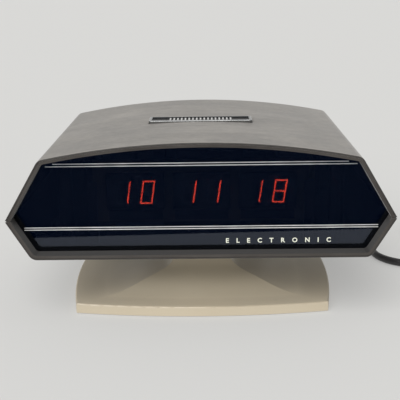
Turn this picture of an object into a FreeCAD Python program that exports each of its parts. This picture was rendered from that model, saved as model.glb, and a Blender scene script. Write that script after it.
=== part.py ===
"""Mains digital clock with six gas-discharge digits, on a flared pedestal.

Millimetres. +X is the viewer's right, -Y is the window side, +Z is up. The origin is on the
table under the middle of the case.
"""
import FreeCAD, Part
import math
import os

from FreeCAD import Vector

os.makedirs("parts", exist_ok=True)

# ---------------------------------------------------------------- driving dimensions
CASE_WIDTH = 200.0        # between the two side creases
CASE_DEPTH = 144.0
SEAM_Z = 58.8             # height of the side creases, where the two shells meet
SHOULDER_X = 81.3         # upper corners
SHOULDER_Z = 90.5
ROOF_Z = 98.8             # crown of the arched roof
FLOOR_X = 87.3            # lower corners
FLOOR_Z = 37.9
CORNER_RADIUS = 5.0
WALL = 2.4
EDGE_ROUND = 0.5
LINE_INSET = 0.62         # fine moulded line round the front rim, just inside its rounded edge
LINE_WIDTH = 0.32
LINE_DEPTH = 0.35

WINDOW_FRONT = -64.1
WINDOW_THICK = 2.5
REAR_PANEL_OUT = 66.0
REAR_PANEL_THICK = 2.4
GROOVE_DEPTH = 1.0        # how far window and rear panel reach into the shell wall
GROOVE_GAP = 0.05

STRIPE_WIDTH = 0.48
STRIPE_RAISE = 0.12
UPPER_STRIPES_Z = (86.85, 85.55)
LOWER_STRIPES_Z = (53.05, 51.9)

DIGIT_HEIGHT = 12.4
DIGIT_WIDTH = 6.5
DIGIT_PITCH = 12.7
DIGIT_SLANT = 8.5         # degrees
DIGIT_Z = 69.6
SEGMENT_WIDTH = 0.78
SEGMENT_THICK = 0.15
SEGMENT_GAP = 0.12
TUBE_PITCH = 34.5
TUBE_SHIFT = 0.5
TUBE_WIDTH = 30.0
TUBE_BOTTOM = 60.0
TUBE_TOP = 79.4
DIGIT_PLANE = -55.0       # front face of the ceramic back

BAR_HALF_LENGTH = 29.3
BAR_DEPTH = 14.4
BAR_Y = -4.4
BAR_TOP = 99.4
BAR_TRAVEL = 1.2
BAR_CLEARANCE = 0.25

BASE_Y = 6.7              # middle of the pedestal
BASE_CORNER_X = 69.0
BASE_CORNER_Y = 58.9      # from the middle of the pedestal
BASE_FRONT_BOW = 6.4
BASE_SIDE_BOW = 5.8
LIP_BOTTOM = 0.5
LIP_TOP = 5.8
LIP_ROUND = 0.7
NECK_HALF_X = 15.0
NECK_HALF_Y = 23.0
PEDESTAL_WALL = 2.4

MAIN_BOARD_Z = 46.5
BOARD_THICK = 1.6

CORD_DIAMETER = 4.6
CORD_EXIT = Vector(62, 92, 47.5)   # end of the strain relief

HALF_WIDTH = CASE_WIDTH / 2
FRONT = -CASE_DEPTH / 2
BACK = CASE_DEPTH / 2
INNER_FLOOR = FLOOR_Z + WALL


# ---------------------------------------------------------------- helpers
def block(x0, x1, y0, y1, z0, z1):
    return Part.makeBox(x1 - x0, y1 - y0, z1 - z0, Vector(x0, y0, z0))


def post(x, y, z0, z1, diameter):
    return Part.makeCylinder(diameter / 2, z1 - z0, Vector(x, y, z0), Vector(0, 0, 1))


def rod_x(x0, x1, y, z, diameter):
    return Part.makeCylinder(diameter / 2, x1 - x0, Vector(x0, y, z), Vector(1, 0, 0))


def rod_y(x, y0, y1, z, diameter):
    return Part.makeCylinder(diameter / 2, y1 - y0, Vector(x, y0, z), Vector(0, 1, 0))


def plate_xz(points, y0, y1):
    """A flat plate with a straight-sided outline in XZ, from y0 to y1."""
    corners = [Vector(x, y0, z) for x, z in points]
    wire = Part.makePolygon(corners + corners[:1])
    return Part.Face(wire).extrude(Vector(0, y1 - y0, 0))


def joined(shapes):
    result = shapes[0]
    if len(shapes) > 1:
        result = result.multiFuse(shapes[1:])
    return result.removeSplitter()


def rounded_path(points):
    """Straight runs joined by tangent arcs, each as large as its two runs allow."""
    edges = []
    radii = []
    start = points[0]
    for before, corner, after in zip(points, points[1:], points[2:]):
        back = (before - corner).normalize()
        ahead = (after - corner).normalize()
        turn = math.pi - back.getAngle(ahead)
        set_back = 0.45 * min(before.distanceToPoint(corner), corner.distanceToPoint(after))
        radius = set_back / math.tan(turn / 2)
        leave = corner + back * set_back
        rejoin = corner + ahead * set_back
        middle = corner + (back + ahead).normalize() * (radius / math.cos(turn / 2) - radius)
        edges.append(Part.LineSegment(start, leave).toShape())
        edges.append(Part.Arc(leave, middle, rejoin).toShape())
        radii.append(radius)
        start = rejoin
    edges.append(Part.LineSegment(start, points[-1]).toShape())
    return Part.Wire(edges), radii


def tube(points, diameter, name=""):
    """A round tube along a rounded path; a name has its length, volume and radii printed."""
    path, radii = rounded_path(points)
    circle = Part.Circle(points[0], points[1] - points[0], diameter / 2).toShape()
    solid = path.makePipeShell([Part.Wire([circle])], True, False)
    if name:
        expected = math.pi * diameter ** 2 / 4 * path.Length
        print(name, "length %.1f" % path.Length, "volume ratio %.4f" % (solid.Volume / expected),
              "radii", " ".join("%.0f" % radius for radius in radii))
    return solid


def save(name, shape):
    solids = shape.Solids
    if not solids or not shape.isValid():
        raise RuntimeError(name + " is not a valid solid")
    if len(solids) > 1:
        shape = Part.makeCompound(solids)
    else:
        shape = solids[0]
    shape.exportStep("parts/" + name + ".step")
    print("%-22s solids %3d  volume %10.1f" % (name, len(solids), shape.Volume))


# ---------------------------------------------------------------- case outline
def case_prism(inset, y0, y1, corner_radius):
    """The six-sided case outline, moved inwards by inset and swept from y0 to y1."""
    corners = [
        Vector(-HALF_WIDTH, y0, SEAM_Z),
        Vector(-SHOULDER_X, y0, SHOULDER_Z),
        Vector(SHOULDER_X, y0, SHOULDER_Z),
        Vector(HALF_WIDTH, y0, SEAM_Z),
        Vector(FLOOR_X, y0, FLOOR_Z),
        Vector(-FLOOR_X, y0, FLOOR_Z),
    ]
    crown = Vector(0, y0, ROOF_Z)
    edges = [
        Part.LineSegment(corners[0], corners[1]).toShape(),
        Part.Arc(corners[1], crown, corners[2]).toShape(),
        Part.LineSegment(corners[2], corners[3]).toShape(),
        Part.LineSegment(corners[3], corners[4]).toShape(),
        Part.LineSegment(corners[4], corners[5]).toShape(),
        Part.LineSegment(corners[5], corners[0]).toShape(),
    ]
    wire = Part.Wire(edges)
    if inset:
        wire = wire.makeOffset2D(-inset, 2)
    prism = Part.Face(wire).extrude(Vector(0, y1 - y0, 0))
    if not corner_radius:
        return prism
    rounded = []
    for edge in prism.Edges:
        start, end = edge.Vertexes[0].Point, edge.Vertexes[-1].Point
        along_y = abs(start.x - end.x) < 0.01 and abs(start.z - end.z) < 0.01
        if along_y and abs(start.z - SEAM_Z) > 5:
            rounded.append(edge)
    return prism.makeFillet(corner_radius, rounded)


def front_and_back_edges(shape):
    """The outer edges at the two open ends of a shell, except those at the seam."""
    found = []
    for edge in shape.Edges:
        box = edge.BoundBox
        at_end = abs(box.YMin - box.YMax) < 0.01 and min(abs(box.YMin - FRONT), abs(box.YMin - BACK)) < 0.01
        at_seam = abs(box.ZMin - SEAM_Z) < 0.01 and abs(box.ZMax - SEAM_Z) < 0.01
        if at_end and not at_seam:
            found.append(edge)
    return found


def shell_ring():
    """Both shells as one ring, with rounded outer edges and the two grooves."""
    outer = case_prism(0, FRONT, BACK, CORNER_RADIUS)
    outer = outer.makeFillet(EDGE_ROUND, front_and_back_edges(outer))
    inner = case_prism(WALL, FRONT - 1, BACK + 1, CORNER_RADIUS - WALL)
    ring = outer.cut(inner)
    line = case_prism(LINE_INSET, FRONT - 1, FRONT + LINE_DEPTH, CORNER_RADIUS - LINE_INSET)
    line_inner = LINE_INSET + LINE_WIDTH
    ring = ring.cut(line.cut(case_prism(line_inner, FRONT - 2, FRONT + 1, CORNER_RADIUS - line_inner)))
    groove_inset = WALL - GROOVE_DEPTH - GROOVE_GAP
    for y0, y1 in window_span(), rear_panel_span():
        ring = ring.cut(case_prism(groove_inset, y0 - GROOVE_GAP, y1 + GROOVE_GAP, 3.2))
    return ring


def window_span():
    return WINDOW_FRONT, WINDOW_FRONT + WINDOW_THICK


def rear_panel_span():
    return REAR_PANEL_OUT - REAR_PANEL_THICK, REAR_PANEL_OUT


# ---------------------------------------------------------------- case shells
CASE_POSTS = [(x, y) for x in (-72, 72) for y in (-48, 48)]
POST_DIAMETER = 8.0
POST_SPLIT_Z = 46.0
SCREW_HOLE = 3.4
SEAM_GAP = 0.03
NOTCH = 1.2               # depth of the groove along each side crease
NOTCH_HEIGHT = 0.9
SLIT = 0.4                # height and depth of the line that shows between the shells at each end
BRIDGE_TOP = 84.0
BRIDGE_POSTS = [(-38, BAR_Y), (38, BAR_Y)]
INNER_SCREW = 2.5


def top_shell(ring):
    shell = ring.common(block(-110, 110, FRONT - 1, BACK + 1, SEAM_Z + SEAM_GAP, ROOF_Z + 1))
    roof_fill = case_prism(WALL / 2, FRONT + 12, BACK - 10, 0)
    posts = [post(x, y, POST_SPLIT_Z, ROOF_Z, POST_DIAMETER) for x, y in CASE_POSTS]
    posts += [post(x, y, BRIDGE_TOP, ROOF_Z, 7) for x, y in BRIDGE_POSTS]
    half_x = BAR_HALF_LENGTH + BAR_CLEARANCE
    half_y = BAR_DEPTH / 2 + BAR_CLEARANCE
    well_bottom = BAR_TOP - 5.95
    posts.append(block(-half_x - 2, half_x + 2, BAR_Y - half_y - 2, BAR_Y + half_y + 2, well_bottom, ROOF_Z))
    shell = shell.fuse(joined(posts).common(roof_fill))
    shell = shell.cut(block(-half_x, half_x, BAR_Y - half_y, BAR_Y + half_y, well_bottom - 1, ROOF_Z + 1))
    for x, y in CASE_POSTS:
        shell = shell.cut(post(x, y, POST_SPLIT_Z - 1, POST_SPLIT_Z + 12, 3.0))
    for x, y in BRIDGE_POSTS:
        shell = shell.cut(post(x, y, BRIDGE_TOP - 1, BRIDGE_TOP + 5, INNER_SCREW))
    return notched(shell).removeSplitter()


def notched(shell):
    """Cuts the groove along each side crease, and the slit that carries it across both ends."""
    for side in (-1, 1):
        x0, x1 = sorted((side * (HALF_WIDTH - NOTCH), side * (HALF_WIDTH + 1)))
        low, high = SEAM_Z - NOTCH_HEIGHT / 2, SEAM_Z + NOTCH_HEIGHT / 2
        shell = shell.cut(block(x0, x1, FRONT - 1, BACK + 1, low, high))
    for end in (FRONT, BACK):
        shell = shell.cut(block(-HALF_WIDTH, HALF_WIDTH, end - SLIT, end + SLIT, SEAM_Z - SLIT / 2, SEAM_Z + SLIT / 2))
    return shell


BOARD_POSTS = [(x, y) for x in (-56, 28) for y in (-36, 44)]
PEDESTAL_POSTS = [(0, BASE_Y - 12), (0, BASE_Y + 12)]
TRANSFORMER_X = 54.0
TRANSFORMER_POSTS = [(TRANSFORMER_X, -4), (TRANSFORMER_X, 44)]
TRANSFORMER_FOOT_Z = 44.0
DISPLAY_BOARD_FRONT = -50.6
DISPLAY_BOARD_HALF = 56.8
PEDESTAL_SCREW_TOP = 45.0


def bottom_shell(ring):
    shell = ring.common(block(-110, 110, FRONT - 1, BACK + 1, FLOOR_Z - 1, SEAM_Z - SEAM_GAP))
    floor = INNER_FLOOR - WALL / 2
    features = [post(x, y, floor, POST_SPLIT_Z, POST_DIAMETER) for x, y in CASE_POSTS]
    features += [post(x, y, floor, MAIN_BOARD_Z, 6) for x, y in BOARD_POSTS]
    features += [post(x, y, floor, PEDESTAL_SCREW_TOP + 0.9, 8) for x, y in PEDESTAL_POSTS]
    features += [post(x, y, floor, TRANSFORMER_FOOT_Z, 7) for x, y in TRANSFORMER_POSTS]
    for side in (-1, 1):
        x0, x1 = sorted((side * (DISPLAY_BOARD_HALF - 2), side * (DISPLAY_BOARD_HALF + 3)))
        guide_front = DISPLAY_BOARD_FRONT - 2
        guide = block(x0, x1, guide_front, DISPLAY_BOARD_FRONT + BOARD_THICK + 2, floor, 74)
        slot = block(-DISPLAY_BOARD_HALF, DISPLAY_BOARD_HALF, DISPLAY_BOARD_FRONT,
                     DISPLAY_BOARD_FRONT + BOARD_THICK, 52, 75)
        features.append(guide.cut(slot))
    lip_outer = case_prism(WALL + 0.05, FRONT + 12, BACK - 12, 0)
    lip = lip_outer.cut(case_prism(WALL + 1.2, FRONT + 11, BACK - 11, 0))
    lip = lip.common(block(-110, 110, FRONT, BACK, SEAM_Z - 4, SEAM_Z + 2.4))
    root = case_prism(WALL - 0.2, FRONT + 12, BACK - 12, 0).cut(case_prism(WALL + 1.2, FRONT + 11, BACK - 11, 0))
    root = root.common(block(-110, 110, FRONT, BACK, SEAM_Z - 4, SEAM_Z - 1))
    shell = shell.multiFuse(features + [lip, root])
    for x, y in CASE_POSTS:
        shell = shell.cut(post(x, y, FLOOR_Z - 1, POST_SPLIT_Z + 1, SCREW_HOLE))
        shell = shell.cut(post(x, y, FLOOR_Z - 1, POST_SPLIT_Z - 4, 6.2))
    for x, y in BOARD_POSTS + TRANSFORMER_POSTS:
        shell = shell.cut(post(x, y, INNER_FLOOR + 0.6, MAIN_BOARD_Z + 1, INNER_SCREW))
    for x, y in PEDESTAL_POSTS:
        shell = shell.cut(post(x, y, FLOOR_Z - 1, PEDESTAL_SCREW_TOP, 3.5))
    return notched(shell).removeSplitter()


def pan_screw(x, y, seat_z, length, shank, head, up):
    """A pan-head screw whose head sits at seat_z; up says which way the shank points."""
    way = 1 if up else -1
    head_height = head * 0.38
    z0, z1 = sorted((seat_z, seat_z + way * length))
    h0, h1 = sorted((seat_z, seat_z - way * head_height))
    screw = post(x, y, z0, z1, shank).fuse(post(x, y, h0, h1, head))
    outer_z = seat_z - way * head_height
    s0, s1 = sorted((outer_z, outer_z + way * 0.8))
    screw = screw.cut(block(x - head, x + head, y - 0.35, y + 0.35, s0, s1))
    return screw.cut(block(x - 0.35, x + 0.35, y - head, y + head, s0, s1)).removeSplitter()


# ---------------------------------------------------------------- window and trim
def window():
    y0, y1 = window_span()
    return case_prism(WALL - GROOVE_DEPTH, y0, y1, 3.2)


def stripes(heights):
    """Thin metal foil lines on the face of the window, trimmed by the rim."""
    opening = case_prism(WALL + 0.15, WINDOW_FRONT - STRIPE_RAISE, WINDOW_FRONT, 2.4)
    lines = []
    for z in heights:
        line = block(-HALF_WIDTH, HALF_WIDTH, WINDOW_FRONT - STRIPE_RAISE, WINDOW_FRONT,
                     z - STRIPE_WIDTH / 2, z + STRIPE_WIDTH / 2)
        lines.append(line.common(opening))
    return Part.makeCompound(lines)


# ---------------------------------------------------------------- rear panel and controls
BUTTON_X = (4.0, 18.0, 32.0, 46.0)
BUTTON_Z = 78.0
BUTTON_NAMES = ("fast_set_button", "slow_set_button", "alarm_set_button", "hold_button")
BUTTON_CAP = 6.8
BUTTON_OUT = 70.2
SLIDE_X = (12.0, 36.0)
SLIDE_Z = 62.0
SLIDE_NAMES = ("alarm_switch_knob", "format_switch_knob")
SLIDE_TRAVEL = 4.4
KNOB_WIDTH = 4.0
KNOB_HEIGHT = 3.2
SLIDE_GAP = 0.3
SPEAKER_X = -45.0
SPEAKER_Z = 66.0
SPEAKER_DIAMETER = 46.0
PANEL_IN = REAR_PANEL_OUT - REAR_PANEL_THICK


def rear_panel():
    y0, y1 = rear_panel_span()
    panel = case_prism(WALL - GROOVE_DEPTH, y0, y1, 3.2)
    holes = [rod_y(x, y0 - 1, y1 + 1, BUTTON_Z, BUTTON_CAP + 0.6) for x in BUTTON_X]
    for x in SLIDE_X:
        half = (KNOB_WIDTH + SLIDE_TRAVEL) / 2 + SLIDE_GAP
        tall = KNOB_HEIGHT / 2 + SLIDE_GAP
        holes.append(block(x - half, x + half, y0 - 1, y1 + 1, SLIDE_Z - tall, SLIDE_Z + tall))
    holes.append(rod_y(CORD_EXIT.x, y0 - 1, y1 + 1, CORD_EXIT.z, 8.0))
    for step in range(-4, 5):
        x = SPEAKER_X + step * 4.0
        half = math.sqrt((SPEAKER_DIAMETER / 2 - 4) ** 2 - (step * 4.0) ** 2)
        holes.append(block(x - 0.9, x + 0.9, y0 - 1, y1 + 1, SPEAKER_Z - half, SPEAKER_Z + half))
    for step in range(6):
        x = 60.0 + step * 4.0
        holes.append(block(x - 0.9, x + 0.9, y0 - 1, y1 + 1, 62, 82))
    return panel.cut(Part.makeCompound(holes))


def push_button(x):
    cap = rod_y(x, PANEL_IN - 2, BUTTON_OUT, BUTTON_Z, BUTTON_CAP)
    rim = [edge for edge in cap.Edges if abs(edge.BoundBox.YMin - BUTTON_OUT) < 0.01]
    cap = cap.makeFillet(0.8, rim)
    return cap.fuse(rod_y(x, PANEL_IN - 6, PANEL_IN - 2, BUTTON_Z, 3.0)).removeSplitter()


def push_switches():
    bodies = []
    for x in BUTTON_X:
        body = block(x - 5, x + 5, PANEL_IN - 9, PANEL_IN, BUTTON_Z - 5, BUTTON_Z + 5)
        body = body.cut(rod_y(x, PANEL_IN - 4, PANEL_IN + 1, BUTTON_Z, BUTTON_CAP + 0.3))
        bodies.append(body.cut(rod_y(x, PANEL_IN - 8, PANEL_IN, BUTTON_Z, 3.3)))
    return Part.makeCompound(bodies)


def slide_knob(x):
    """Rests at the -X end of its window."""
    x0 = x - SLIDE_TRAVEL / 2 - KNOB_WIDTH / 2
    z0 = SLIDE_Z - KNOB_HEIGHT / 2
    knob = block(x0, x0 + KNOB_WIDTH, PANEL_IN - 3.4, BUTTON_OUT - 1.2, z0, z0 + KNOB_HEIGHT)
    for step in (1, 2, 3):
        rib_x = x0 + step * KNOB_WIDTH / 4
        knob = knob.cut(block(rib_x - 0.2, rib_x + 0.2, BUTTON_OUT - 1.7, BUTTON_OUT, z0 - 1, z0 + 5))
    return knob


def slide_switches():
    bodies = []
    for x in SLIDE_X:
        half = (KNOB_WIDTH + SLIDE_TRAVEL) / 2 + SLIDE_GAP
        tall = KNOB_HEIGHT / 2 + SLIDE_GAP
        body = block(x - 9, x + 9, PANEL_IN - 7, PANEL_IN, SLIDE_Z - 4.5, SLIDE_Z + 4.5)
        pocket = block(x - half, x + half, PANEL_IN - 3.8, PANEL_IN + 1, SLIDE_Z - tall, SLIDE_Z + tall)
        bodies.append(body.cut(pocket))
    return Part.makeCompound(bodies)


# ---------------------------------------------------------------- snooze bar
BAR_SKIRT_BOTTOM = BAR_TOP - 6.0
FLANGE_THICK = 1.4
FLANGE_BOTTOM = BAR_SKIRT_BOTTOM - FLANGE_THICK
BAR_RIM = 1.7
BAR_RECESS = 1.2
SPRING_X = 20.0
RIB_COUNT = 17
RIB_PITCH = 2.15


def bar_block(margin, z0, z1):
    half_y = BAR_DEPTH / 2 + margin
    half_x = BAR_HALF_LENGTH + margin
    return block(-half_x, half_x, BAR_Y - half_y, BAR_Y + half_y, z0, z1)


def snooze_bar():
    body = bar_block(0, BAR_SKIRT_BOTTOM, BAR_TOP)
    upright = [edge for edge in body.Edges if abs(edge.BoundBox.ZLength - 6.0) < 0.01]
    body = body.makeFillet(1.2, upright)
    top_edges = [edge for edge in body.Edges if edge.BoundBox.ZMin > BAR_TOP - 0.01]
    body = body.makeFillet(0.35, top_edges)
    body = body.fuse(bar_block(2.0, FLANGE_BOTTOM, BAR_SKIRT_BOTTOM))
    return body.cut(bar_block(-BAR_RIM, BAR_TOP - BAR_RECESS, BAR_TOP + 1)).removeSplitter()


def snooze_insert():
    floor_z = BAR_TOP - BAR_RECESS
    plate = bar_block(-BAR_RIM - 0.02, floor_z, floor_z + 0.5)
    ribs = []
    for step in range(RIB_COUNT):
        x = (step - (RIB_COUNT - 1) / 2) * RIB_PITCH
        ribs.append(block(x - 0.45, x + 0.45, BAR_Y - 3.2, BAR_Y + 3.2, floor_z + 0.4, floor_z + 1.05))
    return plate.multiFuse(ribs).removeSplitter()


def snooze_spring(x):
    """A coil spring's outline: a thin sleeve with one wave for each turn."""
    turns = 5
    z0 = BRIDGE_TOP
    z1 = FLANGE_BOTTOM
    pitch = (z1 - z0) / turns
    outer = [Vector(2.0, 0, z0), Vector(2.6, 0, z0)]
    for turn in range(turns):
        outer.append(Vector(3.0, 0, z0 + (turn + 0.5) * pitch))
        outer.append(Vector(2.6, 0, z0 + (turn + 1) * pitch))
    inner = [Vector(2.0, 0, z1)]
    wire = Part.makePolygon(outer + inner + outer[:1])
    sleeve = Part.Face(wire).revolve(Vector(0, 0, 0), Vector(0, 0, 1), 360)
    sleeve.translate(Vector(x, BAR_Y, 0))
    return sleeve


def snooze_bridge():
    plate = block(-43, 43, BAR_Y - 5, BAR_Y + 5, BRIDGE_TOP - 1.6, BRIDGE_TOP)
    for x, y in BRIDGE_POSTS:
        plate = plate.cut(post(x, y, BRIDGE_TOP - 2, BRIDGE_TOP + 1, 2.9))
    return plate


def snooze_switch():
    body = block(-5, 5, BAR_Y - 3, BAR_Y + 3, BRIDGE_TOP, BRIDGE_TOP + 5)
    return body.cut(block(-1.4, 1.4, BAR_Y - 1.4, BAR_Y + 1.4, BRIDGE_TOP + 0.6, BRIDGE_TOP + 6))


def snooze_plunger():
    return block(-1.2, 1.2, BAR_Y - 1.2, BAR_Y + 1.2, BRIDGE_TOP + 2, FLANGE_BOTTOM - 0.05)


# ---------------------------------------------------------------- display
TUBE_X = [TUBE_SHIFT + step * TUBE_PITCH for step in (-1, 0, 1)]
TUBE_NAMES = ("display_tube_hours", "display_tube_minutes", "display_tube_seconds")
SHOWN = ("10", "11", "18")
LIT = {"0": "abcdef", "1": "bc", "8": "abcdefg"}
BACK_THICK = 2.4
PIN_BOTTOM = 56.0
PIN_Y = DIGIT_PLANE + 0.8


def display_tube(x):
    """The front glass: a shallow tray whose hollow holds the gas over the digits."""
    half = TUBE_WIDTH / 2
    glass = block(x - half, x + half, DIGIT_PLANE - 2.2, DIGIT_PLANE, TUBE_BOTTOM + 1.5, TUBE_TOP)
    upright = [edge for edge in glass.Edges if abs(edge.BoundBox.YLength - 2.2) < 0.01]
    glass = glass.makeFillet(0.8, upright)
    hollow = block(x - half + 1.5, x + half - 1.5, DIGIT_PLANE - 0.5, DIGIT_PLANE + 1,
                   TUBE_BOTTOM + 2.5, TUBE_TOP - 1.2)
    return glass.cut(hollow)


def display_back(x):
    half = TUBE_WIDTH / 2
    return block(x - half, x + half, DIGIT_PLANE, DIGIT_PLANE + BACK_THICK, TUBE_BOTTOM, TUBE_TOP)


def segment_outline(name):
    """Corner points of one segment about the digit's middle, before the slant."""
    w, h, s, g = DIGIT_WIDTH / 2, DIGIT_HEIGHT / 2, SEGMENT_WIDTH, SEGMENT_GAP / 2
    flat = [(-w + g, h), (w - g, h), (w - g - s, h - s), (-w + g + s, h - s)]
    upright = [(w, h - g), (w, g), (w - s / 2, g), (w - s, s / 2 + g), (w - s, h - s - g)]
    middle = [(-w + s, s / 2), (w - s, s / 2), (w - s / 2, 0), (w - s, -s / 2), (-w + s, -s / 2), (-w + s / 2, 0)]
    shapes = {
        "a": flat,
        "b": upright,
        "c": [(x, -z) for x, z in upright],
        "d": [(x, -z) for x, z in flat],
        "e": [(-x, -z) for x, z in upright],
        "f": [(-x, z) for x, z in upright],
        "g": middle,
    }
    return shapes[name]


def segments(lit):
    """Every lit or unlit cathode segment of the six digits."""
    lean = math.tan(math.radians(DIGIT_SLANT))
    found = []
    for tube_x, text in zip(TUBE_X, SHOWN):
        for place, figure in enumerate(text):
            middle_x = tube_x + (place - 0.5) * DIGIT_PITCH
            for name in "abcdefg":
                if (name in LIT[figure]) != lit:
                    continue
                points = [(middle_x + x + z * lean, DIGIT_Z + z) for x, z in segment_outline(name)]
                found.append(plate_xz(points, DIGIT_PLANE - SEGMENT_THICK, DIGIT_PLANE))
    return Part.makeCompound(found)


def pin_places():
    return [tube_x + (step - 4.5) * 2.54 for tube_x in TUBE_X for step in range(10)]


def display_pins():
    pins = [block(x - 0.25, x + 0.25, PIN_Y, PIN_Y + 0.5, PIN_BOTTOM, TUBE_BOTTOM) for x in pin_places()]
    return Part.makeCompound(pins)


def display_sockets():
    sockets = []
    for tube_x in TUBE_X:
        socket = block(tube_x - 14, tube_x + 14, DIGIT_PLANE - 1.4, DISPLAY_BOARD_FRONT, PIN_BOTTOM - 1, TUBE_BOTTOM - 0.4)
        sockets.append(socket.cut(block(tube_x - 13, tube_x + 13, PIN_Y, PIN_Y + 0.5, PIN_BOTTOM, TUBE_BOTTOM)))
    return Part.makeCompound(sockets)


def display_board():
    return block(-DISPLAY_BOARD_HALF, DISPLAY_BOARD_HALF, DISPLAY_BOARD_FRONT,
                 DISPLAY_BOARD_FRONT + BOARD_THICK, 52, 86)


# ---------------------------------------------------------------- main board
BOARD_TOP = MAIN_BOARD_Z + BOARD_THICK


def main_board():
    board = block(-62, 34, -42, 50, MAIN_BOARD_Z, BOARD_TOP)
    for x, y in BOARD_POSTS:
        board = board.cut(post(x, y, MAIN_BOARD_Z - 1, BOARD_TOP + 1, 2.9))
    return board


def clock_chip():
    """A 28-pin clock chip in a plastic dual-in-line body."""
    x, y, length, width = -18.0, -8.0, 36.0, 13.6
    body = block(x - length / 2, x + length / 2, y - width / 2, y + width / 2, BOARD_TOP + 1.0, BOARD_TOP + 4.8)
    notch = post(x - length / 2, y, BOARD_TOP + 4.0, BOARD_TOP + 5, 3.0)
    pieces = [body.cut(notch)]
    for step in range(14):
        pin_x = x + (step - 6.5) * 2.54
        for side in (-1, 1):
            y0, y1 = sorted((y + side * (width / 2 - 0.2), y + side * (width / 2 + 0.7)))
            pieces.append(block(pin_x - 0.6, pin_x + 0.6, y0, y1, BOARD_TOP + 2.4, BOARD_TOP + 2.7))
            y0, y1 = sorted((y + side * (width / 2 + 0.4), y + side * (width / 2 + 0.7)))
            pieces.append(block(pin_x - 0.3, pin_x + 0.3, y0, y1, BOARD_TOP, BOARD_TOP + 2.5))
    return joined(pieces)


def transistor(x, y):
    """A small D-shaped plastic transistor on three legs."""
    can = post(x, y, BOARD_TOP + 2.5, BOARD_TOP + 7.2, 4.8)
    can = can.cut(block(x - 3, x + 3, y - 3, y - 1.4, BOARD_TOP, BOARD_TOP + 8))
    legs = [block(x + dx - 0.25, x + dx + 0.25, y - 0.25, y + 0.25, BOARD_TOP, BOARD_TOP + 2.8)
            for dx in (-1.27, 0, 1.27)]
    return joined([can] + legs)


def axial_part(x, y, body_length, body_diameter, lead, height):
    """A cylindrical part lying along X, on one wire that is bent down at each end."""
    reach = body_length / 2 + 2.0
    z = BOARD_TOP + height
    wire = tube([Vector(x - reach, y, BOARD_TOP), Vector(x - reach, y, z), Vector(x + reach, y, z),
                 Vector(x + reach, y, BOARD_TOP)], lead)
    body = rod_x(x - body_length / 2, x + body_length / 2, y, z, body_diameter)
    return body.fuse(wire).removeSplitter()


def disc_capacitor(x, y):
    disc = Part.makeCylinder(3.4, 1.8, Vector(x, y - 0.9, BOARD_TOP + 5.2), Vector(0, 1, 0))
    legs = [block(x + dx - 0.25, x + dx + 0.25, y - 0.25, y + 0.25, BOARD_TOP, BOARD_TOP + 3.4) for dx in (-1.8, 1.8)]
    return joined([disc] + legs)


def ribbon_cable():
    """Flat cable from the back of the display board down to the main board."""
    back = DISPLAY_BOARD_FRONT + BOARD_THICK
    upright = block(-46, -20, back, back + 0.8, BOARD_TOP, 58)
    flat = block(-46, -20, back, -36.5, BOARD_TOP, BOARD_TOP + 0.8)
    return upright.fuse(flat).removeSplitter()


# ---------------------------------------------------------------- transformer
CORE_Z = TRANSFORMER_FOOT_Z + 1.0
CORE_HEIGHT = 32.0
CORE_Y0, CORE_Y1 = 1.0, 39.0
CORE_HALF = 8.0


def transformer_core():
    x = TRANSFORMER_X
    core = block(x - CORE_HALF, x + CORE_HALF, CORE_Y0, CORE_Y1, CORE_Z, CORE_Z + CORE_HEIGHT)
    for y0, y1 in (CORE_Y0 + 6, CORE_Y0 + 13), (CORE_Y1 - 13, CORE_Y1 - 6):
        core = core.cut(block(x - 20, x + 20, y0, y1, CORE_Z + 6, CORE_Z + CORE_HEIGHT - 6))
    return core


def transformer_winding():
    """The taped coil round the core's middle leg, filling both windows."""
    x = TRANSFORMER_X
    y0, y1 = CORE_Y0 + 6.2, CORE_Y1 - 6.2
    z0, z1 = CORE_Z + 6.3, CORE_Z + CORE_HEIGHT - 6.3
    coil = block(x - 14, x + 14, y0, y1, z0, z1)
    upright = [edge for edge in coil.Edges if abs(edge.BoundBox.ZLength - (z1 - z0)) < 0.01]
    coil = coil.makeFillet(3.0, upright)
    return coil.cut(block(x - CORE_HALF, x + CORE_HALF, CORE_Y0 + 13, CORE_Y1 - 13, z0 - 1, z1 + 1))


def transformer_bracket():
    """A steel strap over the core, with a screwed foot at each end."""
    x = TRANSFORMER_X
    top = CORE_Z + CORE_HEIGHT
    strap = block(x - CORE_HALF, x + CORE_HALF, CORE_Y0 - 1, CORE_Y1 + 1, TRANSFORMER_FOOT_Z, top + 1)
    strap = strap.cut(block(x - 20, x + 20, CORE_Y0, CORE_Y1, TRANSFORMER_FOOT_Z - 1, top))
    feet = block(x - CORE_HALF, x + CORE_HALF, CORE_Y0 - 9, CORE_Y1 + 9, TRANSFORMER_FOOT_Z, CORE_Z)
    strap = strap.fuse(feet.cut(block(x - 20, x + 20, CORE_Y0, CORE_Y1, TRANSFORMER_FOOT_Z - 1, top)))
    for px, py in TRANSFORMER_POSTS:
        strap = strap.cut(post(px, py, TRANSFORMER_FOOT_Z - 1, CORE_Z + 1, 2.9))
    return strap.removeSplitter()


# ---------------------------------------------------------------- speaker
def turned_y(profile, x, z):
    """A solid turned about an axis along Y at (x, z); profile is a list of (radius, y)."""
    points = [Vector(radius, y, 0) for radius, y in profile]
    face = Part.Face(Part.makePolygon(points + points[:1]))
    solid = face.revolve(Vector(0, 0, 0), Vector(0, 1, 0), 360)
    solid.translate(Vector(x, 0, z))
    return solid


def speaker_basket():
    rim = SPEAKER_DIAMETER / 2
    y = PANEL_IN
    profile = [(rim, y), (rim, y - 1.2), (rim - 2.6, y - 1.2), (14, y - 11), (14, y - 12.4),
               (4.5, y - 12.4), (4.5, y - 11.2), (12.8, y - 11.2), (rim - 4.2, y - 1.0), (rim - 3.6, y)]
    return turned_y(profile, SPEAKER_X, SPEAKER_Z)


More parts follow.
